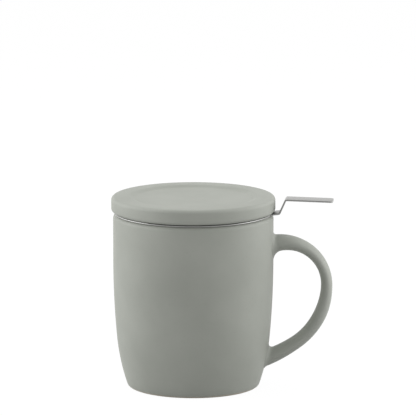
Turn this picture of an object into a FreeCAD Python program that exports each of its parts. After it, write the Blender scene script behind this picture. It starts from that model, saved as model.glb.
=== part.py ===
import FreeCAD
import Part
import math
import os

# A lidded stoneware tea mug with a lift-out steel infuser.
#
# The mug stands on its foot ring at Z 0, on the Z axis, with its ear handle towards +X.
# The infuser is a pressed ring that sits on the rim, a perforated wall, a perforated base
# that clasps the wall, and a bent strip to lift it by.
# The lid lies on the pressed ring and is kept central by a ring on its underside.
# All sizes are in millimetres and degrees.

# Mug
mug_height = 96.2
rim_radius = 44.0
mug_wall = 3.8
mug_floor = 5.5
straight_height = 70.0          # above this height the wall is upright
side_bow = 465.0                # radius of the long curve below it
heel_height = 28.0              # where the long curve meets the tighter one
heel_bow = 117.0                # radius of the tighter curve, down to the foot
heel_round = 2.2
rim_round = 1.3
floor_round = 11.0
foot_inner_radius = 28.0
foot_recess = 1.4

# Handle
handle_top_height = 79.3        # where the middle line leaves the wall
handle_rise = 6.4               # degrees it climbs as it leaves
handle_lead = 3.1               # straight part before the first bend
top_bend = 23.6                 # radius of the middle line over the top
top_sweep = 95.7                # degrees it turns there
back_bend = 39.2                # radius down the back
back_sweep = 55.4
tail_bend = 76.0                # radius of the last bend, which runs on to the wall
top_root_thickness = 9.5
top_thickness = 6.9
grip_thickness = 6.2
back_thickness = 7.2
tail_thickness = 7.3
low_root_thickness = 8.5
root_width = 15.0
neck_width = 13.2               # a little way from each root
grip_width = 12.5
handle_trace = 0.25             # step in which the last bend is followed to the wall
handle_root_inset = 8.0         # how far both ends run in before they are trimmed to the wall
root_flare = 0.9                # how far an end swells on every side where it meets the wall
flare_length = 2.0
handle_sections = 21

# Infuser
sheet = 0.8                     # pressed ring and lifting strip
fine_sheet = 0.4                # wall and base
sheet_bend = 0.6                # inner radius of every bend
flange_inset = 0.8              # the flange ends this far inside the rim's edge
collar_clearance = 1.2          # between the collar and the mug's mouth
collar_taper = 3.4              # how much narrower the collar gets towards the neck
collar_depth = 10.0
neck_depth = 6.0
wall_lap = 4.0                  # how far the wall reaches up inside the neck
basket_depth = 70.0             # from the rim to the underside of the base
base_turn_up = 2.4              # the base's edge, which clasps the wall from outside

# Perforation
hole_size = 2.6
hole_rows = 6
hole_columns = 12
hole_margin = 6.0               # plain metal above and below the perforated field
base_hole_rings = 3
base_holes_per_ring = 6         # in the first ring, and as many more in each next one

# Lifting strip
strip_width = 10.8
strip_turn = -4.5               # the infuser rests turned a little from the handle
strip_step = 4.4                # first part outside the flange
strip_clear = 0.5               # how far that part rises clear of the mug
strip_rise = 7.7
strip_lean = 3.4                # how far the rise leans outwards
strip_length = 25.8
strip_fall = 0.7                # how much lower the strip is at its end
strip_corner = 1.8

# Lid
lid_overhang = 1.0
lid_height = 8.7
lid_top_round = 2.1
lid_bottom_round = 2.2
lid_dish_radius = 36.0
lid_dish_slope = 4.5            # width of the slope into the dish
lid_dish_depth = 1.1
lid_web = 5.0                   # thickness left in the middle
lid_ring_clearance = 0.9        # between the locating ring and the collar
lid_ring_depth = 6.0
lid_ring_width = 3.6
lid_ring_lead = 1.2             # slope that guides the ring into the collar

# Soft edges and bends are straight steps of about these angles
soft_step = 30.0
bend_step = 90.0

# Thickness and width of the handle at shares of its length
handle_sizes = [
    (0.0, top_root_thickness, root_width),
    (0.18, top_thickness, neck_width),
    (0.4, grip_thickness, grip_width),
    (0.6, back_thickness, grip_width),
    (0.82, tail_thickness, neck_width),
    (1.0, low_root_thickness, root_width),
]

# Sizes that follow from these
mouth_radius = rim_radius - mug_wall
lid_radius = rim_radius + lid_overhang
flange_radius = rim_radius - flange_inset
collar_radius = mouth_radius - collar_clearance
neck_radius = collar_radius - collar_taper
neck_top = mug_height - collar_depth
neck_bottom = neck_top - neck_depth
wall_radius = neck_radius - sheet
wall_top = neck_bottom + wall_lap
base_bottom = mug_height - basket_depth
wall_bottom = base_bottom + fine_sheet + sheet_bend
lid_seat = mug_height + sheet

UP = FreeCAD.Vector(0, 0, 1)
ORIGIN = FreeCAD.Vector(0, 0, 0)
TINY = 1e-6
HALF_TURN = 180                 # degrees


def in_plane(u, v):
    """The point at radius u and height v."""
    return FreeCAD.Vector(u, 0, v)


def soft_path(corners, step_angle=soft_step):
    """Points along corners (u, v, radius), where a radius over 0 makes the corner an arc in short steps."""
    points = []
    for index, (u, v, radius) in enumerate(corners):
        here = in_plane(u, v)
        if radius <= 0:
            points.append(here)
            continue
        to_last = (in_plane(*corners[index - 1][:2]) - here).normalize()
        to_next = (in_plane(*corners[(index + 1) % len(corners)][:2]) - here).normalize()
        half = to_last.getAngle(to_next) / 2
        sweep = math.pi / 2 - half
        steps = round(math.degrees(2 * sweep) / step_angle)
        if steps == 0:
            points.append(here)
            continue
        middle_way = (to_last + to_next).normalize()
        centre = here + middle_way * (radius / math.sin(half))
        side_way = (to_last - to_next).normalize()
        for step in range(steps + 1):
            angle = sweep * (1 - 2 * step / steps)
            points.append(centre + (side_way * math.sin(angle) - middle_way * math.cos(angle)) * radius)
    return points


def lines(points):
    """Edges that join the points in order."""
    return [Part.LineSegment(points[i], points[i + 1]).toShape() for i in range(len(points) - 1)]


def soft_outline(corners, step_angle=soft_step):
    """Closed wire through the corners."""
    points = soft_path(corners, step_angle)
    return Part.Wire(lines(points + points[:1]))


def bent_sheet(path, thickness, bend):
    """Outline of a sheet that is bent along path and lies on its left, with one inner radius at every bend."""
    count = len(path)
    points = [FreeCAD.Vector(u, v, 0) for u, v in path]
    ways = [(points[i + 1] - points[i]).normalize() for i in range(count - 1)]
    left = [FreeCAD.Vector(-way.y, way.x, 0) for way in ways]
    near, far = [], []
    for index, point in enumerate(points):
        first, last = left[max(index - 1, 0)], left[min(index, count - 2)]
        shift = (first + last) * (thickness / (1 + first.dot(last)))
        moved = point + shift
        turn = ways[max(index - 1, 0)].cross(ways[min(index, count - 2)]).z
        near_radius = far_radius = 0.0
        if turn > TINY:
            near_radius, far_radius = bend + thickness, bend
        elif turn < -TINY:
            near_radius, far_radius = bend, bend + thickness
        near.append((point.x, point.y, near_radius))
        far.append((moved.x, moved.y, far_radius))
    return soft_outline(near + far[::-1], bend_step)


def turned(outline):
    """Solid made by turning an outline about the Z axis."""
    return Part.Face(outline).revolve(ORIGIN, UP, 360)


def disc(radius, bottom, top):
    """Upright cylinder on the Z axis."""
    return Part.makeCylinder(radius, top - bottom, in_plane(0, bottom))


def side_centres():
    """Centres of the side's long curve and of the tighter one, and the angle where they meet."""
    upper = in_plane(rim_radius - side_bow, straight_height)
    join = math.asin((straight_height - heel_height) / side_bow)
    return upper, upper + in_plane(math.cos(join), -math.sin(join)) * (side_bow - heel_bow), join


def side_radius(height, inset=0):
    """Radius of the mug's side at a height, moved inwards by inset."""
    upper, lower, join = side_centres()
    if height >= straight_height:
        return rim_radius - inset
    if height >= upper.z - (side_bow - inset) * math.sin(join):
        return upper.x + math.sqrt((side_bow - inset) ** 2 - (upper.z - height) ** 2)
    return lower.x + math.sqrt((heel_bow - inset) ** 2 - (lower.z - height) ** 2)


def side_curves(inset, bottom):
    """The side's two curves, moved inwards by inset, from the upright part down to bottom."""
    upper, lower, join = side_centres()
    foot = math.asin((lower.z - bottom) / (heel_bow - inset))

    def on_arc(centre, bow, angle):
        return centre + in_plane(math.cos(angle), -math.sin(angle)) * (bow - inset)

    shoulder, meeting = on_arc(upper, side_bow, 0), on_arc(upper, side_bow, join)
    end = on_arc(lower, heel_bow, foot)
    return [
        Part.Arc(shoulder, on_arc(upper, side_bow, join / 2), meeting).toShape(),
        Part.Arc(meeting, on_arc(lower, heel_bow, (join + foot) / 2), end).toShape(),
    ]


def make_mug_body():
    """The vessel: an even wall with a rounded rim, a rounded heel and a foot ring round a shallow recess."""
    heel_end = 2 * heel_round
    floor_end = mug_floor + floor_round
    over_rim = soft_path([
        (mouth_radius, straight_height, 0),
        (mouth_radius, mug_height, rim_round),
        (rim_radius, mug_height, rim_round),
        (rim_radius, straight_height, 0),
    ])
    under = soft_path([
        (side_radius(heel_end), heel_end, 0),
        (side_radius(0), 0, heel_round),
        (foot_inner_radius, 0, 0),
        (foot_inner_radius, foot_recess, 0),
        (0, foot_recess, 0),
        (0, mug_floor, 0),
        (side_radius(mug_floor, mug_wall), mug_floor, floor_round),
        (side_radius(floor_end, mug_wall), floor_end, 0),
    ])
    outer, inner = side_curves(0, heel_end), side_curves(mug_wall, floor_end)
    return turned(Part.Wire([*lines(over_rim), *outer, *lines(under), *inner[::-1]]))


def filled_vessel():
    """Everything inside the mug's outer side."""
    rim_to_side = [in_plane(0, 0), in_plane(0, mug_height), in_plane(rim_radius, mug_height),
                   in_plane(rim_radius, straight_height)]
    foot_to_axis = [in_plane(side_radius(0), 0), in_plane(0, 0)]
    return turned(Part.Wire([*lines(rim_to_side), *side_curves(0, 0), *lines(foot_to_axis)]))


def handle_middle(along):
    """Point and direction of the handle's middle line, at a length along it from where it leaves the wall."""
    angle = -math.radians(handle_rise)
    lead = min(along, handle_lead)
    point = in_plane(rim_radius, handle_top_height) + in_plane(math.cos(angle), -math.sin(angle)) * lead
    left = along - lead
    for bend, sweep in [(top_bend, top_sweep), (back_bend, back_sweep), (tail_bend, HALF_TURN)]:
        centre = point - in_plane(math.sin(angle), math.cos(angle)) * bend
        turn = min(left / bend, math.radians(sweep))
        angle += turn
        point = centre + in_plane(math.sin(angle), math.cos(angle)) * bend
        left -= turn * bend
    return point, angle


def handle_length():
    """Length of the middle line from wall to wall."""
    along = handle_lead + top_bend * math.radians(top_sweep) + back_bend * math.radians(back_sweep)
    end = along + tail_bend * math.radians(HALF_TURN)
    while along < end and handle_middle(along)[0].x > side_radius(handle_middle(along)[0].z):
        along += handle_trace
    return along


def handle_size(share):
    """Thickness and width of the handle at a share of its length."""
    if share <= 0:
        return handle_sizes[0][1:]
    for start, end in zip(handle_sizes, handle_sizes[1:]):
        if share <= end[0]:
            part = (share - start[0]) / (end[0] - start[0])
            return [low + (high - low) * part for low, high in zip(start[1:], end[1:])]
    return handle_sizes[-1][1:]


def make_handle():
    """The ear handle: oval sections along its middle line, thick at the roots, trimmed to the mug's side."""
    length = handle_length()
    sections = []
    for index in range(handle_sections):
        along = (length + 2 * handle_root_inset) * index / (handle_sections - 1) - handle_root_inset
        point, angle = handle_middle(along)
        from_wall = max(point.x - side_radius(point.z), 0)
        flare = 2 * root_flare * math.exp(-from_wall / flare_length)
        thickness, width = handle_size(along / length)
        normal = in_plane(math.sin(angle), math.cos(angle))
        wide = point + FreeCAD.Vector(0, (width + flare) / 2, 0)
        oval = Part.Ellipse(wide, point + normal * ((thickness + flare) / 2), point)
        sections.append(Part.Wire(oval.toShape()))
    return Part.makeLoft(sections, True, True).cut(filled_vessel())


def make_infuser_rim():
    """The pressed ring: a flat flange, a tapered collar that hangs in the mug's mouth, and a narrower neck."""
    path = [
        (neck_radius, neck_bottom),
        (neck_radius, neck_top),
        (collar_radius, mug_height),
        (flange_radius, mug_height),
    ]
    return turned(bent_sheet(path, sheet, sheet_bend))


def hole_cutters(spin_count, offset, place, size):
    """Bars round the Z axis that each cut one square hole, from the first at angle offset."""
    bars = []
    for index in range(spin_count):
        bar = Part.makeBox(*size, place - FreeCAD.Vector(*size) / 2)
        bar.rotate(ORIGIN, UP, offset + 360 * index / spin_count)
        bars.append(bar)
    return bars


def make_infuser_wall():
    """The wall: a thin tube with a staggered field of holes between two plain bands."""
    inner = wall_radius - fine_sheet
    tube = disc(wall_radius, wall_bottom, wall_top).cut(disc(inner, wall_bottom, wall_top))
    low = base_bottom + base_turn_up + hole_margin
    high = neck_bottom - hole_margin
    bars = []
    for row in range(hole_rows):
        height = low + (high - low) * row / (hole_rows - 1)
        offset = 180 / hole_columns * (row % 2)
        place = in_plane(inner, height)
        bars += hole_cutters(hole_columns, offset, place, (hole_size * 2, hole_size, hole_size))
    return tube.cut(Part.makeCompound(bars))


def make_infuser_base():
    """The base: a perforated disc whose turned-up edge clasps the wall."""
    edge = wall_radius + fine_sheet
    path = [(0, base_bottom), (edge, base_bottom), (edge, base_bottom + base_turn_up)]
    dish = turned(bent_sheet(path, fine_sheet, sheet_bend))
    bars = []
    for ring in range(1, base_hole_rings + 1):
        place = in_plane((wall_radius - hole_margin) * ring / base_hole_rings, base_bottom)
        bars += hole_cutters(base_holes_per_ring * ring, 0, place, (hole_size, hole_size, hole_size))
    return dish.cut(Part.makeCompound(bars))


def make_infuser_strip():
    """The lifting strip: level at the flange, up past the lid's edge, then outwards to the finger tab."""
    start = flange_radius - sheet
    foot = flange_radius + strip_step
    top = mug_height + strip_clear + strip_rise
    path = [
        (start, mug_height),
        (flange_radius, mug_height),
        (foot, mug_height + strip_clear),
        (foot + strip_lean, top),
        (foot + strip_lean + strip_length, top - strip_fall),
    ]
    section = Part.Face(bent_sheet(path, sheet, sheet_bend))
    section.translate(FreeCAD.Vector(0, -strip_width / 2, 0))
    strip = section.extrude(FreeCAD.Vector(0, strip_width, 0))
    end = foot + strip_lean + strip_length
    at_end = [edge for edge in strip.Edges if edge.BoundBox.XMin > end - sheet]
    corners = [edge for edge in at_end if edge.BoundBox.YLength < TINY]
    strip = strip.makeFillet(strip_corner, corners)
    strip = strip.cut(disc(flange_radius, mug_height - sheet, mug_height + 2 * sheet))
    strip.rotate(ORIGIN, UP, strip_turn)
    return strip


def make_lid():
    """The lid: a thick disc with a soft edge, a shallow dish on top and a locating ring below."""
    top = lid_seat + lid_height
    dish = top - lid_dish_depth
    ring_bottom = lid_seat - lid_ring_depth
    collar_at_ring = collar_radius - collar_taper * (mug_height - ring_bottom) / collar_depth
    ring_outer = collar_at_ring - sheet - lid_ring_clearance
    ring_inner = ring_outer - lid_ring_width
    under = dish - lid_web
    return turned(soft_outline([
        (0, under, 0),
        (ring_inner, under, 0),
        (ring_inner, ring_bottom, 0),
        (ring_outer - lid_ring_lead, ring_bottom, 0),
        (ring_outer, ring_bottom + lid_ring_lead, 0),
        (ring_outer, lid_seat, 0),
        (lid_radius, lid_seat, lid_bottom_round),
        (lid_radius, top, lid_top_round),
        (lid_dish_radius, top, 0),
        (lid_dish_radius - lid_dish_slope, dish, 0),
        (0, dish, 0),
    ]))


def main():
    """Builds every piece and writes it to parts/."""
    pieces = {
        "mug_body": make_mug_body(),
        "mug_handle": make_handle(),
        "infuser_rim": make_infuser_rim(),
        "infuser_wall": make_infuser_wall(),
        "infuser_base": make_infuser_base(),
        "infuser_strip": make_infuser_strip(),
        "lid": make_lid(),
    }
    os.makedirs("parts", exist_ok=True)
    for name, shape in pieces.items():
        box = shape.BoundBox
        print(name, shape.isValid(), len(shape.Solids), round(shape.Volume, 1),
              [round(value, 2) for value in (box.XMin, box.XMax, box.YMin, box.YMax, box.ZMin, box.ZMax)])
        shape.exportStep(f"parts/{name}.step")


main()
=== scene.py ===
"""Looks of a stoneware tea mug with a loose lid and a lift-out steel infuser."""

import logging
import math
from collections.abc import Callable, Sequence
from dataclasses import dataclass, field
from enum import Enum

import bpy
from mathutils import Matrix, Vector

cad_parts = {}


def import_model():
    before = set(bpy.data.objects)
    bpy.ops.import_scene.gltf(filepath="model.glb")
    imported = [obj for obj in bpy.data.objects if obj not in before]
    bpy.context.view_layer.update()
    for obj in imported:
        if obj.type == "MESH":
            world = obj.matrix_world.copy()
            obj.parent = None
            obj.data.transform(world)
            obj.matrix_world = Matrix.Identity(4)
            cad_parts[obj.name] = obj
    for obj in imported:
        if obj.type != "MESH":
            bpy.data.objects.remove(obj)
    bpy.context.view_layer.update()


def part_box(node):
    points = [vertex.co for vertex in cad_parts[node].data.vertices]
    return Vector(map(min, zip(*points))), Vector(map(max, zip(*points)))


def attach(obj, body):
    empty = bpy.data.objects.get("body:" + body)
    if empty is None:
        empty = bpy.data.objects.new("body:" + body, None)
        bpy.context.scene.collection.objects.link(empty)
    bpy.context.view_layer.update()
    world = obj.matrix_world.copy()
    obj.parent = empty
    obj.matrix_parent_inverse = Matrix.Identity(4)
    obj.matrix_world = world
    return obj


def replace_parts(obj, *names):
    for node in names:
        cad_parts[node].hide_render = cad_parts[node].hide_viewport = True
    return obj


Point = tuple[float, float]
Corner = tuple[float, float, float]
Colour = tuple[float, float, float, float]
Section = tuple[Vector, float, float, float]
Fed = bpy.types.NodeSocket | float | Sequence[float]

# Lengths are in metres, and the angles among the sizes in degrees
MM = 0.001
WELD = 0.04 * MM  # vertices nearer than this are one
POLE = 0.002 * MM  # stands for a radius of 0, so that a ring can still be scaled
TOUCH = 0.1 * MM  # how near a vertex lies to a height that it belongs to
STRAIGHT = 0.001  # a smaller turn, as a sine, is no bend
log = logging.getLogger("mug")


class Around(Enum):
    """Which way the brushing of a steel piece runs."""

    AXIS = "round the mug's axis"
    LENGTH = "along the strip"


def srgb(red: int, green: int, blue: int) -> Colour:
    """A colour as it is seen on a screen, made linear.

    Args:
        red: Red from 0 to 255.
        green: Green from 0 to 255.
        blue: Blue from 0 to 255.

    Returns:
        The linear colour with full alpha.
    """
    parts = []
    for value in (red, green, blue):
        share = value / 255
        parts.append(share / 12.92 if share <= 0.04045 else ((share + 0.055) / 1.055) ** 2.4)
    return parts[0], parts[1], parts[2], 1.0


def soft_profile(corners: Sequence[Corner], steps: int = 6) -> list[Point]:
    """Rounds the corners of a profile.

    Args:
        corners: Radius, height and rounding of each corner, in order. The first and last
            are neighbours where they are rounded.
        steps: Straight steps in a quarter turn of rounding.

    Returns:
        The points of the rounded profile.
    """
    points: list[Point] = []
    for index, (radius, height, rounding) in enumerate(corners):
        if rounding <= 0:
            points.append((radius, height))
            continue
        here = Vector((radius, height))
        back = (Vector(corners[index - 1][:2]) - here).normalized()
        ahead = (Vector(corners[(index + 1) % len(corners)][:2]) - here).normalized()
        half = back.angle(ahead) / 2
        sweep = math.pi / 2 - half
        count = max(2, round(steps * 2 * sweep / (math.pi / 2)))
        inwards = (back + ahead).normalized()
        sideways = (back - ahead).normalized()
        centre = here + inwards * (rounding / math.sin(half))
        for step in range(count + 1):
            angle = sweep * (1 - 2 * step / count)
            spot = centre + (sideways * math.sin(angle) - inwards * math.cos(angle)) * rounding
            points.append((spot.x, spot.y))
    return points


def bent_sheet(path: Sequence[Point], thickness: float, bend: float, edge: float) -> list[Corner]:
    """Gives a bent sheet its two sides.

    Args:
        path: The right-hand side of the sheet, corner by corner.
        thickness: Thickness of the sheet, to the left of the path.
        bend: Inner radius of every bend.
        edge: Rounding of the cut edges at both ends.

    Returns:
        The corners all round the sheet's section.
    """
    points = [Vector(point) for point in path]
    ways = [(points[i + 1] - points[i]).normalized() for i in range(len(points) - 1)]
    lefts = [Vector((-way.y, way.x)) for way in ways]
    near: list[Corner] = []
    far: list[Corner] = []
    for index, point in enumerate(points):
        first, last = lefts[max(index - 1, 0)], lefts[min(index, len(ways) - 1)]
        moved = point + (first + last) * (thickness / (1 + first.dot(last)))
        way_in, way_out = ways[max(index - 1, 0)], ways[min(index, len(ways) - 1)]
        turn = way_in.x * way_out.y - way_in.y * way_out.x
        outer = bend + thickness
        near.append((point.x, point.y, outer if turn > STRAIGHT else bend if turn < -STRAIGHT else edge))
        far.append((moved.x, moved.y, bend if turn > STRAIGHT else outer if turn < -STRAIGHT else edge))
    return near + far[::-1]


def deselect() -> None:
    """Leaves nothing selected."""
    if bpy.context.object and bpy.context.object.mode != "OBJECT":
        bpy.ops.object.mode_set(mode="OBJECT")
    bpy.ops.object.select_all(action="DESELECT")


def only(piece: bpy.types.Object) -> None:
    """Selects one piece and makes it active.

    Args:
        piece: The piece.
    """
    deselect()
    piece.select_set(True)
    bpy.context.view_layer.objects.active = piece


def settle(piece: bpy.types.Object) -> None:
    """Moves a piece's place, turn and size into its mesh."""
    only(piece)
    bpy.ops.object.transform_apply(location=True, rotation=True, scale=True)


def smooth(piece: bpy.types.Object, angle: float = 38.0) -> None:
    """Shades a piece smoothly, apart from edges sharper than the angle in degrees."""
    only(piece)
    bpy.ops.object.shade_smooth_by_angle(angle=math.radians(angle))


def finish_modifiers(piece: bpy.types.Object) -> None:
    """Applies all of a piece's modifiers, in order.

    Args:
        piece: The piece.
    """
    only(piece)
    for modifier in list(piece.modifiers):
        bpy.ops.object.modifier_apply(modifier=modifier.name)


def edit_all() -> None:
    """Opens the active piece in edit mode with all of it selected."""
    bpy.ops.object.mode_set(mode="EDIT")
    bpy.ops.mesh.select_all(action="SELECT")


def close_form(weld: float = 0.0) -> None:
    """Points every face outwards and leaves edit mode.

    Args:
        weld: Distance within which vertices are merged first, or 0 to merge none.
    """
    bpy.ops.mesh.select_all(action="SELECT")
    if weld:
        bpy.ops.mesh.remove_doubles(threshold=weld)
    bpy.ops.mesh.normals_make_consistent(inside=False)
    bpy.ops.object.mode_set(mode="OBJECT")


def turn_profile(name: str, profile: Sequence[Point], sides: int, closed: bool = False) -> bpy.types.Object:
    """Turns a profile about the mug's axis, one ring after another, as on a wheel.

    Args:
        name: Name of the new piece.
        profile: Radius and height of each ring. A radius of 0 closes the form at the axis.
        sides: Number of sides of every ring.
        closed: True where the profile comes back to its start.

    Returns:
        The turned piece.
    """
    deselect()
    rings = [(max(radius, POLE), height) for radius, height in profile]
    radius, height = rings[0]
    bpy.ops.mesh.primitive_circle_add(vertices=sides, radius=radius, location=(0, 0, height))
    piece = bpy.context.object
    piece.name = piece.data.name = name
    settle(piece)
    edit_all()
    for next_radius, next_height in [*rings[1:], *(rings[:1] if closed else [])]:
        bpy.ops.mesh.extrude_region_move(TRANSFORM_OT_translate={"value": (0, 0, next_height - height)})
        ratio = next_radius / radius
        bpy.ops.transform.resize(value=(ratio, ratio, 1), center_override=(0, 0, next_height))
        radius, height = next_radius, next_height
    close_form(WELD / 2)
    return piece


def tilt(angle: float, centre: Vector) -> None:
    """Turns what is selected about a line along Y, so that an angle above 0 lowers its +X side."""
    bpy.ops.transform.rotate(value=-angle, orient_axis="Y", center_override=centre)


def draw_form(name: str, sections: Sequence[Section], sides: int = 0) -> bpy.types.Object:
    """Draws a form out of its first section, section by section, and closes both ends.

    Args:
        name: Name of the new piece.
        sections: Place, angle, width and thickness of each section.
        sides: Number of sides of an oval section, or 0 for a rectangle.

    Returns:
        The piece.
    """
    deselect()
    start, angle, width, thickness = sections[0]
    upright = {"location": start, "rotation": (0, math.pi / 2, 0)}
    if sides:
        bpy.ops.mesh.primitive_circle_add(vertices=sides, radius=0.5, **upright)
    else:
        bpy.ops.mesh.primitive_plane_add(size=1, **upright)
    piece = bpy.context.object
    piece.name = piece.data.name = name
    settle(piece)
    edit_all()
    bpy.ops.transform.resize(value=(1, width, thickness), center_override=start)
    tilt(angle, start)
    if sides:
        bpy.ops.mesh.edge_face_add()
    for spot, next_angle, next_width, next_thickness in sections[1:]:
        bpy.ops.mesh.extrude_region_move(TRANSFORM_OT_translate={"value": spot - start})
        tilt(-angle, spot)
        ratios = (1, next_width / width, next_thickness / thickness)
        bpy.ops.transform.resize(value=ratios, center_override=spot)
        tilt(next_angle, spot)
        start, angle, width, thickness = spot, next_angle, next_width, next_thickness
    close_form()
    return piece


def repeat(piece: bpy.types.Object, offset: Corner, count: int) -> None:
    """Repeats a piece at even steps.

    Args:
        piece: The piece.
        offset: The way from each one to the next.
        count: How many there are in the end.
    """
    array = piece.modifiers.new("repeat", "ARRAY")
    array.use_relative_offset = False
    array.use_constant_offset = True
    array.constant_offset_displace = offset
    array.count = count
    finish_modifiers(piece)


def select_where(piece: bpy.types.Object, test: Callable[[Vector], bool]) -> None:
    """Selects the vertices in some place, and leaves the piece in edit mode.

    Args:
        piece: The piece.
        test: Says of a vertex's place whether it is wanted.
    """
    only(piece)
    bpy.ops.object.mode_set(mode="EDIT")
    bpy.ops.mesh.select_mode(type="VERT")
    bpy.ops.mesh.select_all(action="DESELECT")
    bpy.ops.object.mode_set(mode="OBJECT")
    for vertex in piece.data.vertices:
        vertex.select = test(vertex.co)
    bpy.ops.object.mode_set(mode="EDIT")


def join(pieces: Sequence[bpy.types.Object], name: str) -> bpy.types.Object:
    """Joins pieces of one part into one mesh.

    Args:
        pieces: The pieces. The first one is kept.
        name: Name of the joined piece.

    Returns:
        The joined piece.
    """
    only(pieces[0])
    for piece in pieces:
        piece.select_set(True)
    bpy.ops.object.join()
    joined = bpy.context.object
    joined.name = joined.data.name = name
    return joined


class Wiring:
    """A node tree that is put together node by node."""

    def __init__(self, tree: bpy.types.NodeTree) -> None:
        """Starts with the tree as it is."""
        self.tree = tree

    def feed(self, end: bpy.types.NodeSocket, value: Fed) -> None:
        """Links an input to an output, or sets it to a constant.

        Args:
            end: The input.
            value: The output or the constant.
        """
        if isinstance(value, bpy.types.NodeSocket):
            self.tree.links.new(value, end)
        else:
            end.default_value = value

    def add(self, kind: str, inputs: dict[str | int, Fed] | None = None,
            **settings: object) -> bpy.types.Node:
        """Adds a node.

        Args:
            kind: The node's type, after the words ShaderNode.
            inputs: An output or a constant for each input, by name or number.
            settings: The node's properties, by name.

        Returns:
            The new node.
        """
        node = self.tree.nodes.new("ShaderNode" + kind)
        for key, value in settings.items():
            setattr(node, key, value)
        for key, value in (inputs or {}).items():
            self.feed(node.inputs[key], value)
        return node

    def compute(self, operation: str, *values: Fed, clamp: bool = False) -> bpy.types.NodeSocket:
        """Works out one sum from its values, and with clamp keeps the result from 0 to 1."""
        return self.add("Math", dict(enumerate(values)), operation=operation, use_clamp=clamp).outputs[0]

    def fade(self, value: bpy.types.NodeSocket, start: Point, end: Point) -> bpy.types.NodeSocket:
        """Goes evenly from start to end as a value grows, each given as the value and the level there."""
        ends = {"From Min": start[0], "From Max": end[0], "To Min": start[1], "To Max": end[1]}
        return self.add("MapRange", {"Value": value, **ends}).outputs[0]

    def blend(self, share: Fed, first: Fed, second: Fed, kind: str = "RGBA") -> bpy.types.NodeSocket:
        """Mixes a share of the second into the first, as RGBA colours or FLOAT numbers."""
        return self.add("Mix", {"Factor": share, "A": first, "B": second}, data_type=kind).outputs["Result"]


class Material(Wiring):
    """A node material with one Principled shader."""

    def __init__(self, name: str) -> None:
        """Starts a material with only its Principled shader and output.

        Args:
            name: Name of the material.
        """
        self.material = bpy.data.materials.new(name)
        self.material.use_nodes = True
        super().__init__(self.material.node_tree)
        self.shader = self.tree.nodes["Principled BSDF"]

    def group(self, tree: bpy.types.NodeTree, **inputs: Fed) -> bpy.types.Node:
        """Places a shader group and feeds its inputs, with _ for each space in their names."""
        named = {key.replace("_", " "): value for key, value in inputs.items()}
        return self.add("Group", named, node_tree=tree)

    def place(self) -> bpy.types.NodeSocket:
        """Gives the place on the surface in Object coordinates."""
        return self.add("TexCoord").outputs["Object"]

    def relief(self, height: bpy.types.NodeSocket, distance: float, strength: float) -> bpy.types.NodeSocket:
        """Gives the normal of a surface raised by a height of 0 to 1, where 1 stands for the distance."""
        inputs = {"Height": height, "Distance": distance, "Strength": strength}
        return self.add("Bump", inputs).outputs["Normal"]

    def dress(self, **inputs: Fed) -> bpy.types.Material:
        """Feeds the shader.

        Args:
            inputs: An output or a constant for each input, with _ for each space in a name.

        Returns:
            The finished material.
        """
        for key, value in inputs.items():
            self.feed(self.shader.inputs[key.replace("_", " ")], value)
        return self.material


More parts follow.
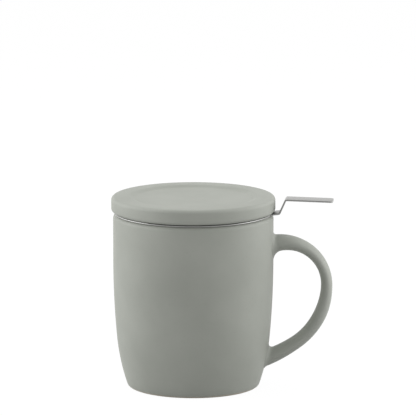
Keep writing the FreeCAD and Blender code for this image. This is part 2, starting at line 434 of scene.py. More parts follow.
class ShaderGroups:
    """Effects that several finishes use, each built once. Each reads a place on the surface."""

    def __init__(self) -> None:
        """Builds the groups."""
        self.mottle = self._mottle()
        self.brushing = self._brushing()
        self.height_band = self._height_band()

    @staticmethod
    def _new(name: str, inputs: dict[str, float], outputs: Sequence[str]) -> tuple[
            Wiring, bpy.types.NodeOutputs, bpy.types.NodeInputs]:
        """Starts a group.

        Args:
            name: Name of the group.
            inputs: First value of each number that it takes, besides the place.
            outputs: Name of each number that it gives.

        Returns:
            The group's wiring, what it takes and what it gives.
        """
        tree = bpy.data.node_groups.new(name, "ShaderNodeTree")
        tree.interface.new_socket("Place", in_out="INPUT", socket_type="NodeSocketVector")
        for label, value in inputs.items():
            socket = tree.interface.new_socket(label, in_out="INPUT", socket_type="NodeSocketFloat")
            socket.default_value = value
        for label in outputs:
            tree.interface.new_socket(label, in_out="OUTPUT", socket_type="NodeSocketFloat")
        takes, gives = tree.nodes.new("NodeGroupInput"), tree.nodes.new("NodeGroupOutput")
        return Wiring(tree), takes.outputs, gives.inputs

    def _mottle(self, plain_share: float = 0.86, ripple_scale: float = 420.0) -> bpy.types.NodeTree:
        """Cloudy tone, fine specks and a slightly uneven surface, as in a fired glaze.

        Args:
            plain_share: Share of the grains that show no speck.
            ripple_scale: How fine the uneven surface is.

        Returns:
            The group.
        """
        group, takes, gives = self._new(
            "glaze mottle", {"Cloud Size": 30.0, "Speck Size": 700.0, "Speck Share": 0.2},
            ("Cloud", "Specks", "Height"))
        place = takes["Place"]
        cloud = group.add("TexNoise", {"Vector": place, "Scale": takes["Cloud Size"], "Detail": 4.0})
        grain = group.add("TexVoronoi", {"Vector": place, "Scale": takes["Speck Size"]})
        small = group.compute("LESS_THAN", grain.outputs["Distance"], takes["Speck Share"])
        tone = group.add("SeparateColor", {"Color": grain.outputs["Color"]})
        chosen = group.compute("GREATER_THAN", tone.outputs["Red"], plain_share)
        ripple = group.add("TexNoise", {"Vector": place, "Scale": ripple_scale, "Detail": 3.0})
        group.feed(gives["Cloud"], cloud.outputs["Fac"])
        group.feed(gives["Specks"], group.compute("MULTIPLY", small, chosen))
        group.feed(gives["Height"], ripple.outputs["Fac"])
        return group.tree

    def _brushing(self) -> bpy.types.NodeTree:
        """Fine scratches that run one way, from a place that is already stretched along them.

        Returns:
            The group.
        """
        group, takes, gives = self._new("steel brushing", {"Fineness": 1.0}, ("Scratches",))
        grain = {"Scale": takes["Fineness"], "Detail": 5.0, "Roughness": 0.65}
        scratch = group.add("TexNoise", {"Vector": takes["Place"], **grain})
        group.feed(gives["Scratches"], scratch.outputs["Fac"])
        return group.tree

    def _height_band(self, sway_scale: float = 90.0) -> bpy.types.NodeTree:
        """A mask that is 1 below a height and 0 above it, with a wavering edge, as on a wiped foot.

        Args:
            sway_scale: How fine the edge's waves are.

        Returns:
            The group.
        """
        group, takes, gives = self._new("band below a height", {"Height": 0.0, "Waver": 0.0002}, ("Mask",))
        split = group.add("SeparateXYZ", {"Vector": takes["Place"]})
        wave = group.add("TexNoise", {"Vector": takes["Place"], "Scale": sway_scale})
        sway = group.compute("MULTIPLY", wave.outputs["Fac"], takes["Waver"])
        edge = group.compute("ADD", takes["Height"], sway)
        group.feed(gives["Mask"], group.compute("LESS_THAN", split.outputs["Z"], edge))
        return group.tree


@dataclass(frozen=True)
class StonewareGlaze:
    """A satin glaze over stoneware, wiped off below a height."""

    colour: Colour = srgb(168, 171, 163)
    deep_colour: Colour = srgb(161, 164, 156)
    speck_colour: Colour = srgb(128, 129, 120)
    clay_colour: Colour = srgb(206, 199, 184)
    cloud_size: float = 32.0
    cloud_start: Point = (0.35, 0.0)
    cloud_end: Point = (0.65, 1.0)
    speck_size: float = 620.0
    speck_share: float = 0.22
    speck_strength: float = 0.12
    roughness: float = 0.57
    smoother: float = 0.04
    rougher: float = 0.06
    clay_roughness: float = 0.35
    gloss_index: float = 1.5
    bump: float = 0.03 * MM
    bump_strength: float = 0.6
    bare_below: float = -1.0
    bare_waver: float = 0.3 * MM

    def material(self, name: str, groups: ShaderGroups) -> bpy.types.Material:
        """Makes the material.

        Args:
            name: Name of the material.
            groups: The shared shader groups.

        Returns:
            The material.
        """
        made = Material(name)
        place = made.place()
        mottle = made.group(
            groups.mottle, Place=place, Cloud_Size=self.cloud_size, Speck_Size=self.speck_size,
            Speck_Share=self.speck_share).outputs
        band = made.group(groups.height_band, Place=place, Height=self.bare_below, Waver=self.bare_waver)
        bare = band.outputs["Mask"]
        tone = made.fade(mottle["Cloud"], self.cloud_start, self.cloud_end)
        clouds = made.blend(tone, self.colour, self.deep_colour)
        dark = made.compute("MULTIPLY", mottle["Specks"], self.speck_strength)
        specks = made.blend(dark, clouds, self.speck_colour)
        least, most = self.roughness - self.smoother, self.roughness + self.rougher
        rough = made.fade(mottle["Cloud"], (0.0, least), (1.0, most))
        return made.dress(
            Base_Color=made.blend(bare, specks, self.clay_colour),
            Roughness=made.compute("MULTIPLY_ADD", bare, self.clay_roughness, rough, clamp=True),
            Normal=made.relief(mottle["Height"], self.bump, self.bump_strength), IOR=self.gloss_index)


@dataclass(frozen=True)
class BrushedSteel:
    """Stainless steel sheet with fine brushing."""

    colour: Colour = srgb(184, 184, 182)
    dull_colour: Colour = srgb(168, 168, 166)
    roughness: float = 0.3
    smoother: float = 0.08
    rougher: float = 0.12
    bump: float = 0.01 * MM
    bump_strength: float = 0.5
    around: Around = Around.AXIS
    length_scales: Corner = (60.0, 6000.0, 6000.0)
    axis_scales: Corner = (3.0, 5000.0, 5000.0)

    def material(self, name: str, groups: ShaderGroups) -> bpy.types.Material:
        """Makes the material.

        Args:
            name: Name of the material.
            groups: The shared shader groups.

        Returns:
            The material.
        """
        made = Material(name)
        brushed = made.group(groups.brushing, Place=self._stretched(made), Fineness=1.0)
        scratches = brushed.outputs["Scratches"]
        least, most = self.roughness - self.smoother, self.roughness + self.rougher
        return made.dress(
            Base_Color=made.blend(scratches, self.dull_colour, self.colour),
            Roughness=made.fade(scratches, (0.0, least), (1.0, most)),
            Normal=made.relief(scratches, self.bump, self.bump_strength), Metallic=1.0)

    def _stretched(self, made: Material) -> bpy.types.NodeSocket:
        """Stretches the place along the brushing.

        Args:
            made: The material.

        Returns:
            The stretched place.
        """
        place = made.place()
        if self.around is Around.LENGTH:
            return made.add("Mapping", {"Vector": place, "Scale": self.length_scales}).outputs["Vector"]
        split = made.add("SeparateXYZ", {"Vector": place}).outputs
        flat = made.add("VectorMath", {0: place, 1: (1, 1, 0)}, operation="MULTIPLY")
        radius = made.add("VectorMath", {0: flat.outputs["Vector"]}, operation="LENGTH")
        round_place = (made.compute("ARCTAN2", split["Y"], split["X"]), radius.outputs["Value"], split["Z"])
        scaled = [made.compute("MULTIPLY", *pair) for pair in zip(round_place, self.axis_scales)]
        return made.add("CombineXYZ", dict(zip("XYZ", scaled))).outputs[0]


@dataclass
class Side:
    """The curve of the mug's outer side, as arcs below an upright wall."""

    rim_radius: float
    straight_height: float = 70.0 * MM
    side_bow: float = 465.0 * MM
    heel_height: float = 28.0 * MM
    heel_bow: float = 117.0 * MM

    def radius(self, height: float, inset: float = 0.0) -> float:
        """Finds the side's radius at a height.

        Args:
            height: The height.
            inset: How far inside the side to measure.

        Returns:
            The radius.
        """
        drop = self.straight_height - self.heel_height
        meeting = math.asin(drop / self.side_bow)
        centre = self.rim_radius - self.side_bow
        if height >= self.straight_height:
            return self.rim_radius - inset
        if height >= self.straight_height - (self.side_bow - inset) * math.sin(meeting):
            return centre + math.sqrt((self.side_bow - inset) ** 2 - (self.straight_height - height) ** 2)
        bow_change = self.side_bow - self.heel_bow
        lower_radius = centre + math.cos(meeting) * bow_change
        lower_height = self.straight_height - math.sin(meeting) * bow_change
        return lower_radius + math.sqrt((self.heel_bow - inset) ** 2 - (lower_height - height) ** 2)

    def run(self, top: float, bottom: float, inset: float = 0.0, steps: int = 22) -> list[Point]:
        """Gives points down the side from one height to another, at an inset from it."""
        heights = [top + (bottom - top) * step / steps for step in range(steps + 1)]
        return [(self.radius(height, inset), height) for height in heights]


@dataclass
class Mug:
    """The vessel with its foot ring, and the ear handle on its side."""

    groups: ShaderGroups
    wall: float = 3.8 * MM
    floor: float = 5.5 * MM
    rim_rounds: Point = (1.0 * MM, 2.7 * MM)
    heel_round: float = 2.2 * MM
    floor_round: float = 11.0 * MM
    foot_inner_radius: float = 28.0 * MM
    foot_recess: float = 1.4 * MM
    foot_soft: float = 0.5 * MM
    bare_foot: float = 0.9 * MM
    handle_top_height: float = 79.3 * MM
    handle_rise: float = 6.4
    handle_lead: float = 3.1 * MM
    handle_bends: tuple[Point, ...] = ((23.6 * MM, 95.7), (39.2 * MM, 55.4), (76.0 * MM, 22.0))
    handle_sizes: tuple[Corner, ...] = (
        (0.0, 9.5 * MM, 15.0 * MM), (0.18, 6.9 * MM, 13.2 * MM), (0.4, 6.2 * MM, 12.5 * MM),
        (0.6, 7.2 * MM, 12.5 * MM), (0.82, 7.3 * MM, 13.2 * MM), (1.0, 8.5 * MM, 15.0 * MM))
    handle_sink: float = 2.4 * MM
    trace_step: float = 0.05 * MM
    section_gap: float = 0.5 * MM
    outer_fillet: float = 1.5 * MM
    inner_fillets: Point = (4.4 * MM, 3.4 * MM)
    root_reach: float = 7.0 * MM
    handle_steps: int = 72
    root_steps: int = 20
    handle_sides: int = 40
    sides: int = 180
    height: float = field(init=False)
    side: Side = field(init=False)

    def __post_init__(self) -> None:
        """Takes the rim and the height from the frame."""
        low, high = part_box("mug_body")
        self.height = high[2]
        self.side = Side(rim_radius=(high[1] - low[1]) / 2)

    def build(self) -> None:
        """Builds and dresses the vessel and the handle."""
        glaze = StonewareGlaze(bare_below=self.bare_foot).material("sage glaze over a bare foot", self.groups)
        vessel = self.make_vessel()
        vessel.data.materials.append(glaze)
        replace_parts(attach(vessel, "mug"), "mug_body")
        handle = self.make_handle()
        handle.data.materials.append(glaze)
        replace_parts(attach(handle, "mug"), "mug_handle")
        for piece in (vessel, handle):
            log.info("%s: %d faces", piece.name, len(piece.data.polygons))

    def make_vessel(self) -> bpy.types.Object:
        """Turns the vessel's profile.

        Returns:
            The vessel.
        """
        side, rim = self.side, self.side.rim_radius
        mouth = rim - self.wall
        heel_end, floor_end = 2 * self.heel_round, self.floor + self.floor_round
        under = soft_profile([
            (side.radius(heel_end), heel_end, 0), (side.radius(0), 0, self.heel_round),
            (self.foot_inner_radius, 0, self.foot_soft),
            (self.foot_inner_radius, self.foot_recess, self.foot_soft), (0, self.foot_recess, 0)])
        inside = soft_profile([
            (0, self.floor, 0), (side.radius(self.floor, self.wall), self.floor, self.floor_round),
            (side.radius(floor_end, self.wall), floor_end, 0)], steps=10)
        over_rim = soft_profile([
            (mouth, side.straight_height, 0), (mouth, self.height, self.rim_rounds[0]),
            (rim, self.height, self.rim_rounds[1]), (rim, side.straight_height, 0)])
        profile = [*under[::-1], *side.run(heel_end, side.straight_height)[1:], *over_rim[::-1][1:],
                   *side.run(side.straight_height, floor_end, self.wall)[1:], *inside[::-1][1:]]
        vessel = turn_profile("vessel", profile, self.sides)
        smooth(vessel)
        return vessel

    def handle_middle(self, along: float) -> tuple[Vector, float]:
        """Follows the handle's middle line.

        Args:
            along: Length along the line from where the upper root enters the wall.

        Returns:
            The point and the angle, from level towards +X, downwards.
        """
        angle = -math.radians(self.handle_rise)
        lead = min(along, self.handle_lead)
        point = Vector((self.side.rim_radius, 0, self.handle_top_height))
        point += Vector((math.cos(angle), 0, -math.sin(angle))) * lead
        left = along - lead
        for bend, sweep in self.handle_bends:
            centre = point - Vector((math.sin(angle), 0, math.cos(angle))) * bend
            turn = min(left / bend, math.radians(sweep))
            angle += turn
            point = centre + Vector((math.sin(angle), 0, math.cos(angle))) * bend
            left -= turn * bend
        return point, angle

    def handle_length(self) -> float:
        """Finds where the middle line meets the wall again.

        Returns:
            The length from wall to wall.
        """
        along = self.handle_lead + sum(bend * math.radians(sweep) for bend, sweep in self.handle_bends[:-1])
        while self.handle_middle(along)[0].x > self.side.radius(self.handle_middle(along)[0].z):
            along += self.trace_step
        return along

    def handle_size(self, share: float) -> tuple[float, float]:
        """Gives the handle's thickness and width, eased from one stated size to the next.

        Args:
            share: Share of the way from the upper root to the lower one.

        Returns:
            The thickness and the width.
        """
        share = min(max(share, 0.0), 1.0)
        sizes = self.handle_sizes
        index = max(i for i in range(len(sizes) - 1) if sizes[i][0] <= share)
        before, start, end, after = (sizes[min(max(index + i, 0), len(sizes) - 1)] for i in (-1, 0, 1, 2))
        gap = end[0] - start[0]
        part = (share - start[0]) / gap
        values = []
        for k in (1, 2):
            leave = (end[k] - before[k]) / (end[0] - before[0]) * gap
            arrive = (after[k] - start[k]) / (after[0] - start[0]) * gap
            values.append(
                start[k] * (1 + 2 * part) * (1 - part) ** 2 + leave * part * (1 - part) ** 2
                + end[k] * part ** 2 * (3 - 2 * part) - arrive * part ** 2 * (1 - part))
        return values[0], values[1]

    def make_handle(self) -> bpy.types.Object:
        """Draws the handle out of the upper root, section by section, down into the lower one.

        Returns:
            The handle.
        """
        length = self.handle_length()
        even = [length * step / self.handle_steps for step in range(self.handle_steps + 1)]
        near = [-self.handle_sink + (self.root_reach + self.handle_sink) * step / self.root_steps
                for step in range(self.root_steps + 1)]
        clear = self.root_reach + self.section_gap
        middle = [along for along in even if clear < along < length - clear]
        stations = [*near, *middle, *(length - along for along in reversed(near))]
        line = [self.handle_middle(along) for along in stations]
        sizes = [self.handle_size(along / length) for along in stations]
        sections = [(*middle_line, width, thickness) for middle_line, (thickness, width) in zip(line, sizes)]
        handle = draw_form("ear_handle", sections, self.handle_sides)
        self.blend_roots(handle, line)
        smooth(handle, angle=60)
        return handle

    def blend_roots(self, handle: bpy.types.Object, line: Sequence[tuple[Vector, float]]) -> None:
        """Swells both ends into the wall, widest above the finger's gap and tight outside.

        Args:
            handle: The handle.
            line: Point and angle of each section's middle.
        """
        upper, lower = self.inner_fillets
        for vertex in handle.data.vertices:
            spot = vertex.co
            gap = math.hypot(spot.x, spot.y) - self.side.radius(spot.z)
            if gap > upper:
                continue
            point, angle = min(line, key=lambda section: (section[0] - spot).length_squared)
            away = (spot - point).normalized()
            outwards = away.dot(Vector((math.sin(angle), 0, math.cos(angle))))
            inner_fillet = upper if spot.z > self.height / 2 else lower
            fillet = inner_fillet + (self.outer_fillet - inner_fillet) * (1 + outwards) / 2
            rest = max(fillet - max(gap, 0.0), 0.0)
            swell = fillet - math.sqrt(fillet ** 2 - rest ** 2)
            slope = (self.side.radius(spot.z + MM / 2) - self.side.radius(spot.z - MM / 2)) / MM
            wall = Vector((spot.x, spot.y, 0)).normalized() - Vector((0, 0, slope))
            wall.normalize()
            vertex.co = spot + (away - wall * away.dot(wall)).normalized() * swell


@dataclass
class Lid:
    """The loose lid: a thick disc with soft edges, a shallow dish on top and a locating ring below."""

    groups: ShaderGroups
    thickness: float = 8.7 * MM
    top_round: float = 2.1 * MM
    bottom_round: float = 2.0 * MM
    seat_radius: float = 40.6 * MM
    seat_step: float = 0.3 * MM
    seat_soft: float = 0.3 * MM
    step_soft: float = 0.1 * MM
    dish_radius: float = 36.0 * MM
    dish_slope: float = 4.5 * MM
    dish_depth: float = 1.1 * MM
    web: float = 5.0 * MM
    ring_radius: float = 35.5 * MM
    ring_width: float = 3.6 * MM
    ring_lead: float = 1.2 * MM
    ring_soft: float = 0.6 * MM
    slope_steps: int = 14
    sides: int = 180

    def build(self) -> None:
        """Builds and dresses the lid."""
        lid = self.make_lid()
        # The lid's glaze is the body's glaze painted a little lighter, as painted light for the lid's top-lit
        # face
        glaze = StonewareGlaze(colour=srgb(170, 173, 165), deep_colour=srgb(164, 167, 159))
        lid.data.materials.append(glaze.material("sage glaze of the lid painted lighter as top light", self.groups))
        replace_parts(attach(lid, "lid"), "lid")
        log.info("%s: %d faces", lid.name, len(lid.data.polygons))

    def make_lid(self) -> bpy.types.Object:
        """Turns the lid's profile.

        Returns:
            The lid.
        """
        low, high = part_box("lid")
        rim, bottom, top = (high[1] - low[1]) / 2, low[2], high[2]
        seat, dish = top - self.thickness, top - self.dish_depth
        under, ring_inside = dish - self.web, self.ring_radius - self.ring_width
        lower = soft_profile([
            (0, under, 0), (ring_inside, under, 2 * self.ring_soft), (ring_inside, bottom, self.ring_soft),
            (self.ring_radius - self.ring_lead, bottom, self.ring_soft),
            (self.ring_radius, bottom + self.ring_lead, self.ring_soft),
            (self.ring_radius, seat, self.seat_soft), (self.seat_radius, seat, self.step_soft),
            (self.seat_radius + self.seat_step, seat + self.seat_step, self.step_soft),
            (rim, seat + self.seat_step, self.bottom_round), (rim, top, self.top_round),
            (self.dish_radius, top, 0)], steps=8)
        slope = []
        for step in range(1, self.slope_steps + 1):
            share = step / self.slope_steps
            drop = self.dish_depth * (1 - math.cos(math.pi * share)) / 2
            slope.append((self.dish_radius - self.dish_slope * share, top - drop))
        lid = turn_profile("dished_lid", [*lower, *slope, (0, dish)], self.sides)
        smooth(lid)
        return lid


@dataclass
class Infuser:
    """The lift-out steel infuser: a pressed ring, a perforated wall and base, and a lifting strip."""

    groups: ShaderGroups
    sheet: float = 0.8 * MM
    fine_sheet: float = 0.4 * MM
    bend: float = 0.6 * MM
    cut_edge: float = 0.3 * MM
    fine_edge: float = 0.1 * MM
    flange_radius: float = 43.2 * MM
    collar_radius: float = 39.0 * MM
    neck_radius: float = 35.6 * MM
    collar_depth: float = 10.0 * MM
    wall_lap: float = 4.0 * MM
    base_ring_width: float = 4.8 * MM
    disc_lap: float = 2.4 * MM
    disc_inset: float = 0.05 * MM
    cells_round: int = 120
    corner_share: float = 0.3
    hole_radius: float = 0.5 * MM
    hole_sides: int = 8
    plain_band: float = 6.0 * MM
    spot_radius: float = 1.1 * MM
    spot_height: float = 0.12 * MM
    spot_ratios: Point = (0.85, 0.5)
    spot_lift: float = 2.0 * MM
    spot_sides: int = 12
    spots: int = 12
    strip_width: float = 10.8 * MM
    strip_turn: float = -4.5
    strip_step: float = 4.4 * MM
    strip_clear: float = 0.5 * MM
    strip_rise: float = 7.7 * MM
    strip_lean: float = 3.4 * MM
    strip_length: float = 25.8 * MM
    strip_fall: float = 0.7 * MM
    strip_corner: float = 1.8 * MM
    strip_bevel_angle: float = 50.0
    sides: int = 180

    def build(self) -> None:
        """Builds and dresses the four pieces."""
        turned = BrushedSteel().material("steel brushed round", self.groups)
        drawn = BrushedSteel(around=Around.LENGTH, roughness=0.4).material("steel brushed along", self.groups)
        for piece, steel, slot, node in (
                (self.make_rim(), turned, "rim_steel", "infuser_rim"),
                (self.make_wall(), turned, "wall_steel", "infuser_wall"),
                (self.make_base(), turned, "base_steel", "infuser_base"),
                (self.make_strip(), drawn, "strip_steel", "infuser_strip")):
            piece.data.materials.append(steel)
            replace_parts(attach(piece, "infuser"), node)
            log.info("%s: %d faces", piece.name, len(piece.data.polygons))

    def make_rim(self) -> bpy.types.Object:
        """Turns the pressed ring and puts a row of spot welds round its neck.

        Returns:
            The ring.
        """
        low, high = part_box("infuser_rim")
        seat = high[2] - self.sheet
        path = [(self.neck_radius, low[2]), (self.neck_radius, seat - self.collar_depth),
                (self.collar_radius, seat), (self.flange_radius, seat)]
        outline = soft_profile(bent_sheet(path, self.sheet, self.bend, self.cut_edge), steps=5)
        ring = turn_profile("pressed_ring", outline, self.sides, closed=True)
        smooth(ring)
        return join([ring, self.make_spots(low[2] + self.spot_lift)], "pressed_ring")

    def make_spots(self, height: float) -> bpy.types.Object:
        """Models one shallow weld spot on the neck and copies it round.

        Args:
            height: Height of the row.

        Returns:
            All the spots in one mesh.
        """
        deselect()
        bpy.ops.mesh.primitive_circle_add(vertices=self.spot_sides, radius=self.spot_radius, fill_type="NGON",
                                          location=(self.neck_radius - self.spot_height, 0, height),
                                          rotation=(0, math.pi / 2, 0))
        spot = bpy.context.object
        spot.name = "weld_spots"
        settle(spot)
        centre = Vector((self.neck_radius, 0, height))
        edit_all()
        for ratio in self.spot_ratios:
            bpy.ops.mesh.extrude_region_move(TRANSFORM_OT_translate={"value": (self.spot_height, 0, 0)})
            bpy.ops.transform.resize(value=(1, ratio, ratio), center_override=centre)
        close_form()
        edit_all()
        bpy.ops.mesh.spin(steps=self.spots - 1, dupli=True, angle=2 * math.pi * (1 - 1 / self.spots),
                          center=(0, 0, 0), axis=(0, 0, 1))
        bpy.ops.object.mode_set(mode="OBJECT")
        smooth(spot, angle=60)
        return spot

    def make_cell(self, name: str, width: float, place: Vector, upright: bool) -> bpy.types.Object:
        """Models one square of sheet with a round hole, and leaves it in edit mode.

        Args:
            name: Name of the piece.
            width: Width of the square.
            place: Its middle.
            upright: True to face it along X, False to lay it flat.

        Returns:
            The piece.
        """
        deselect()
        bpy.ops.mesh.primitive_circle_add(vertices=self.hole_sides, radius=self.hole_radius, location=place,
                                          rotation=(0, math.pi / 2 if upright else 0, 0))
        cell = bpy.context.object
        cell.name = cell.data.name = name
        settle(cell)
        edit_all()
        bpy.ops.mesh.extrude_region_move()
        ratio = width / 2 / self.hole_radius
        bpy.ops.transform.resize(value=(ratio, ratio, ratio), center_override=place)

        def at_corner(spot: Vector) -> bool:
            """Says whether a vertex lies towards a corner of the square."""
            across = spot.z - place.z if upright else spot.x - place.x
            return min(abs(across), abs(spot.y - place.y)) > self.corner_share * width

        select_where(cell, at_corner)
        root = math.sqrt(2)
        bpy.ops.transform.resize(value=(root, root, root), center_override=place)
        bpy.ops.mesh.select_all(action="SELECT")
        return cell

    def make_wall(self) -> bpy.types.Object:
        """Repeats a holed square round the axis and upwards, then adds the plain bands and the thickness.

        Returns:
            The wall.
        """
        low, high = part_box("infuser_wall")
        radius = high[0]
        step = math.pi / self.cells_round
        width = 2 * radius * math.sin(step)
        bottom, top = low[2] + self.plain_band, high[2] - self.wall_lap - self.plain_band
        row_pairs = int((top - bottom) / (2 * width))
        middle = Vector((radius * math.cos(step), 0, bottom + width / 2))
        wall = self.make_cell("perforated_wall", width, middle, True)
        bpy.ops.mesh.duplicate_move(TRANSFORM_OT_translate={"value": (0, 0, width)})
        bpy.ops.transform.rotate(value=step, orient_axis="Z", center_override=(0, 0, 0))
        bpy.ops.mesh.select_all(action="SELECT")
        bpy.ops.mesh.spin(steps=self.cells_round - 1, dupli=True, angle=2 * math.pi - 2 * step,
                          center=(0, 0, 0), axis=(0, 0, 1))
        bpy.ops.object.mode_set(mode="OBJECT")
        repeat(wall, (0, 0, 2 * width), row_pairs)
        edit_all()
        close_form(WELD)
        field_top = bottom + 2 * width * row_pairs
        select_where(wall, lambda spot: spot.z > field_top - TOUCH)
        bpy.ops.mesh.extrude_region_move(TRANSFORM_OT_translate={"value": (0, 0, high[2] - field_top)})
        select_where(wall, lambda spot: spot.z < bottom + TOUCH)
        bpy.ops.mesh.extrude_region_move(TRANSFORM_OT_translate={"value": (0, 0, low[2] - bottom)})
        bpy.ops.object.mode_set(mode="OBJECT")
        self.thicken(wall, self.fine_sheet)
        return wall

    def make_base(self) -> bpy.types.Object:
        """Lays a field of holed squares into a pressed ring with a turned-up edge.

        Returns:
            The base.
        """
        low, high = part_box("infuser_base")
        edge, bottom = high[0], low[2]
        ring_inside = edge - self.base_ring_width
        path = [(ring_inside, bottom), (edge, bottom), (edge, high[2])]
        outline = soft_profile(bent_sheet(path, self.fine_sheet, self.bend, self.fine_edge), steps=5)
        ring = turn_profile("base_ring", outline, self.sides, closed=True)
        smooth(ring)
        width = 2 * edge * math.sin(math.pi / self.cells_round)
        level = bottom + self.fine_sheet - self.disc_inset
        reach = int(edge / width) + 1
        start = Vector((-reach * width, -reach * width, level))
        disc = self.make_cell("perforated_base", width, start, False)
        bpy.ops.mesh.duplicate_move(TRANSFORM_OT_translate={"value": (width / 2, width, 0)})
        bpy.ops.object.mode_set(mode="OBJECT")
        repeat(disc, (width, 0, 0), 2 * reach + 1)
        repeat(disc, (0, 2 * width, 0), reach + 1)
        edit_all()
        close_form(WELD)
        select_where(disc, lambda spot: math.hypot(spot.x, spot.y) > ring_inside + self.disc_lap)
        bpy.ops.mesh.delete(type="VERT")
        bpy.ops.object.mode_set(mode="OBJECT")
        self.thicken(disc, self.fine_sheet - 2 * self.disc_inset)
        return join([disc, ring], "perforated_base")

    def thicken(self, piece: bpy.types.Object, thickness: float) -> None:
        """Gives a perforated skin its thickness, behind its faces.

        Args:
            piece: The skin.
            thickness: The thickness.
        """
        solid = piece.modifiers.new("thickness", "SOLIDIFY")
        solid.thickness = thickness
        solid.offset = -1
        finish_modifiers(piece)
        smooth(piece, angle=30)

    def strip_sections(self) -> list[Section]:
        """Lays out the strip along its middle line, from the flange to the finger tab.

        Returns:
            Place, angle, width and thickness of each section.
        """
        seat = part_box("infuser_rim")[1][2] - self.sheet / 2
        foot = self.flange_radius + self.strip_step
        top = seat + self.strip_clear + self.strip_rise
        end = foot + self.strip_lean + self.strip_length
        corner = self.bend + self.sheet / 2
        line = soft_profile([
            (self.flange_radius - self.sheet, seat, 0), (self.flange_radius, seat, corner),
            (foot, seat + self.strip_clear, corner), (foot + self.strip_lean, top, corner),
            (end, top - self.strip_fall, 0)], steps=8)
        spots = [Vector((u, 0, v)) for u, v in line]
        last = (spots[-1] - spots[-2]).normalized()
        backs = [self.strip_corner * (1 - math.sin(math.radians(turn))) for turn in range(0, 91, 15)]
        spots = spots[:-1] + [spots[-1] - last * back for back in backs]
        sections = []
        for index, spot in enumerate(spots):
            way = (spots[min(index + 1, len(spots) - 1)] - spots[max(index - 1, 0)]).normalized()
            to_end = self.strip_corner - min(self.strip_corner, (spots[-1] - spot).length)
            narrow = self.strip_corner - math.sqrt(self.strip_corner ** 2 - to_end ** 2)
            sections.append((spot, math.atan2(-way.z, way.x), self.strip_width - 2 * narrow, self.sheet))
        return sections

    def make_strip(self) -> bpy.types.Object:
        """Draws the strip, fits it to the flange and softens its edges.

        Returns:
            The strip.
        """
        strip = draw_form("lifting_strip", self.strip_sections())
        self.fit_to_flange(strip)
        bevel = strip.modifiers.new("edges", "BEVEL")
        bevel.width = self.cut_edge
        bevel.segments = 2
        bevel.limit_method = "ANGLE"
        bevel.angle_limit = math.radians(self.strip_bevel_angle)
        finish_modifiers(strip)
        smooth(strip, angle=40)
        strip.rotation_euler = (0, 0, math.radians(self.strip_turn))
        settle(strip)
        return strip

    def fit_to_flange(self, strip: bpy.types.Object) -> None:
        """Cuts the strip's start to the round edge of the flange.

        Args:
            strip: The strip.
        """
        deselect()
        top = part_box("infuser_rim")[1][2]
        bpy.ops.mesh.primitive_cylinder_add(
            vertices=self.sides, radius=self.flange_radius, depth=self.strip_rise, location=(0, 0, top))
        cutter = bpy.context.object
        settle(cutter)
        cut = strip.modifiers.new("flange edge", "BOOLEAN")
        cut.operation = "DIFFERENCE"
        cut.object = cutter
        cut.solver = "EXACT"
        finish_modifiers(strip)
        bpy.data.objects.remove(cutter, do_unlink=True)


@dataclass(frozen=True)
class Lamp:
    """A soft lamp that faces the object."""

    name: str
    azimuth: float
    elevation: float
    distance: float
    size: float
    power: float

    def place(self, target: Vector) -> None:
        """Hangs the lamp.

        Args:
            target: What it faces. Azimuth 0 is the camera's side and 90 the handle's.
        """
        turn, rise = math.radians(self.azimuth), math.radians(self.elevation)
        away = Vector((math.sin(turn) * math.cos(rise), -math.cos(turn) * math.cos(rise), math.sin(rise)))
        light = bpy.data.lights.new(self.name, "AREA")
        light.shape = "SQUARE"
        light.size = self.size
        light.energy = self.power
        lamp = bpy.data.objects.new(self.name, light)
        lamp.location = target + away * self.distance
        lamp.rotation_euler = away.to_track_quat("Z", "Y").to_euler()
        bpy.context.scene.collection.objects.link(lamp)


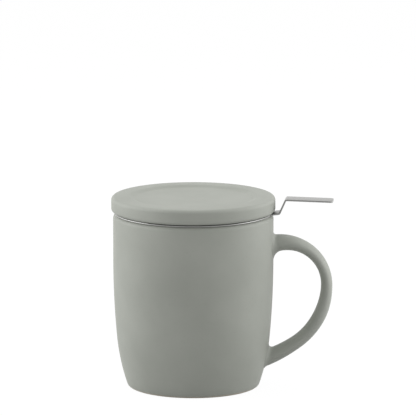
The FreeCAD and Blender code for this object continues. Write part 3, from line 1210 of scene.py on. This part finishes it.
@dataclass
class Studio:
    """A white floor, soft lamps and the camera at the photograph's angle."""

    target: Vector = field(default_factory=lambda: Vector((0, 0, 0.05)))
    camera_distance: float = 2.5
    camera_elevation: float = 11.5
    focal_pixels: float = 4544.75
    target_right: float = -14.7
    target_up: float = -87.5
    frame_pixels: int = 416
    sensor_width: float = 36.0
    view_end: float = 50.0
    world_level: float = 0.6
    front_share: float = 1.05
    mirror_front: float = 0.25
    backdrop_share: float = 0.85
    fade_front: float = -0.6
    fade_back: float = 0.4
    floor_tone: float = 0.42
    floor_size: float = 12.0
    floor_roughness: float = 0.9
    floor_glow: float = 1.12
    table_front: float = 0.36
    lamps: tuple[Lamp, ...] = (
        Lamp("left softbox", azimuth=-100, elevation=25, distance=0.9, size=0.9, power=5.9),
        Lamp("right softbox", azimuth=96, elevation=25, distance=0.9, size=0.85, power=5.1),
    )

    def build(self) -> None:
        """Builds the whole studio."""
        self.place_camera()
        self.lay_floor()
        self.light_world()
        for lamp in self.lamps:
            lamp.place(self.target)
        bpy.context.scene.view_settings.view_transform = "Standard"

    def place_camera(self) -> None:
        """Places the camera, aimed past the target so that it falls on its place in the photograph."""
        rise = math.radians(self.camera_elevation)
        ahead = Vector((0, math.cos(rise), -math.sin(rise)))
        up = Vector((0, math.sin(rise), math.cos(rise)))
        aim = ahead * self.focal_pixels - Vector((1, 0, 0)) * self.target_right - up * self.target_up
        data = bpy.data.cameras.new("camera")
        data.sensor_width = self.sensor_width
        data.lens = self.focal_pixels / self.frame_pixels * data.sensor_width
        data.clip_end = self.view_end
        camera = bpy.data.objects.new("camera", data)
        camera.location = self.target - ahead * self.camera_distance
        camera.rotation_euler = aim.to_track_quat("-Z", "Y").to_euler()
        bpy.context.scene.collection.objects.link(camera)
        bpy.context.scene.camera = camera

    def lay_floor(self) -> None:
        """Lays a wide floor that shows mostly as the backdrop's white and keeps the object's shadow."""
        deselect()
        middle = (0, self.floor_size / 2 - self.table_front, 0)
        bpy.ops.mesh.primitive_plane_add(size=self.floor_size, location=middle)
        floor = bpy.context.object
        floor.name = "floor"
        settle(floor)
        made = Material("white floor")
        made.dress(Base_Color=(*[self.floor_tone] * 3, 1), Roughness=self.floor_roughness)
        glow = made.add("Emission", {"Strength": self.floor_glow})
        rays = made.add("LightPath").outputs
        either = made.compute("ADD", rays["Is Camera Ray"], rays["Is Glossy Ray"])
        seen = made.compute("ADD", either, rays["Is Transmission Ray"], clamp=True)
        share = made.compute("MULTIPLY", seen, self.backdrop_share)
        mix = made.add("MixShader", {0: share, 1: made.shader.outputs[0], 2: glow.outputs[0]})
        made.feed(made.tree.nodes["Material Output"].inputs["Surface"], mix.outputs[0])
        floor.data.materials.append(made.material)

    def light_world(self) -> None:
        """Gives the world a plain level that fades towards the camera's side, and white where it is seen."""
        world = bpy.data.worlds.new("studio")
        world.use_nodes = True
        bpy.context.scene.world = world
        made = Wiring(world.node_tree)
        rays = made.add("LightPath").outputs
        way = made.add("SeparateXYZ", {"Vector": made.add("TexCoord").outputs["Generated"]}).outputs["Y"]
        plain_front = self.world_level * self.front_share
        plain = made.fade(way, (self.fade_front, plain_front), (self.fade_back, self.world_level))
        mirrored = made.fade(way, (self.fade_front, self.mirror_front), (self.fade_back, 1.0))
        level = made.blend(rays["Is Glossy Ray"], plain, mirrored, "FLOAT")
        seen = made.compute("ADD", rays["Is Camera Ray"], rays["Is Transmission Ray"], clamp=True)
        background = made.tree.nodes["Background"].inputs
        made.feed(background["Color"], (1, 1, 1, 1))
        made.feed(background["Strength"], made.blend(seen, level, 1.0, "FLOAT"))


def main() -> None:
    """Builds the studio and every part of the mug."""
    logging.basicConfig(level=logging.INFO, format="%(name)s: %(message)s")
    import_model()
    Studio().build()
    groups = ShaderGroups()
    for part in (Mug(groups), Infuser(groups), Lid(groups)):
        part.build()


if __name__ == "__main__":
    main()
